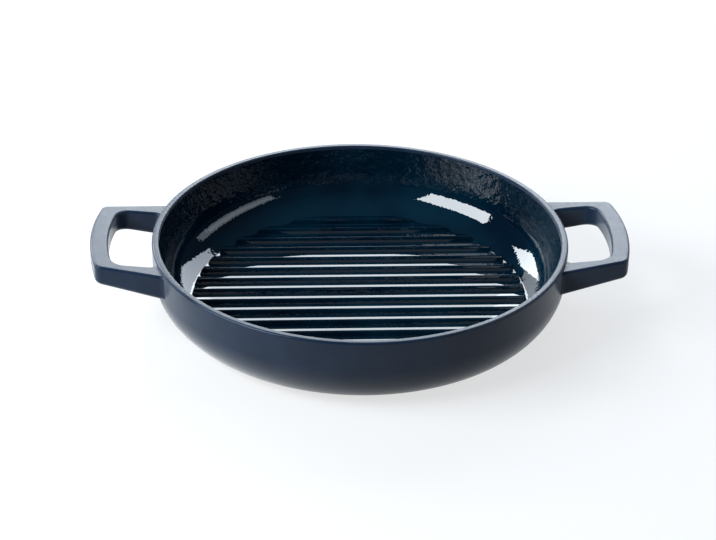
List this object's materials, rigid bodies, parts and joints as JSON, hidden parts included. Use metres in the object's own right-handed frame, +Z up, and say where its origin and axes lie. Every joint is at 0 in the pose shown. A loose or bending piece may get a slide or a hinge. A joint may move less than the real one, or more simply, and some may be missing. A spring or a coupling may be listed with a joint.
{
  "type": "grill pan",
  "caption": "Round enamelled cast iron grill pan with a straight-ribbed floor and a cast loop handle on each side.",
  "frame": {"origin": "centre of the pan at the level of the foot ring, on the surface that it stands on", "axes": "+Z up along the dish's axis, +X towards the right handle, both handles on X, the grill ribs parallel to X"},
  "size_m": [0.336, 0.26, 0.0518],
  "materials": {
    "cast_iron": "bare grey cast iron under the enamel, never seen on a whole pan",
    "interior_enamel": "gloss vitreous enamel, near-black navy with a faint teal cast and a soft orange-peel ripple",
    "exterior_enamel": "satin vitreous enamel, dark slate blue",
    "rim_enamel": "satin vitreous enamel, dark slate blue, slightly rougher than the wall",
    "base_enamel": "matt ground coat enamel, near black",
    "handle_enamel": "satin vitreous enamel, dark slate blue"
  },
  "bodies": {
    "root": {"pan_casting": "cast_iron", "left_handle": "cast_iron", "right_handle": "cast_iron", "interior_enamel": "interior_enamel", "exterior_enamel": "exterior_enamel", "rim_enamel": "rim_enamel", "base_enamel": "base_enamel", "left_handle_enamel": "handle_enamel", "right_handle_enamel": "handle_enamel"}
  },
  "joints": []
}
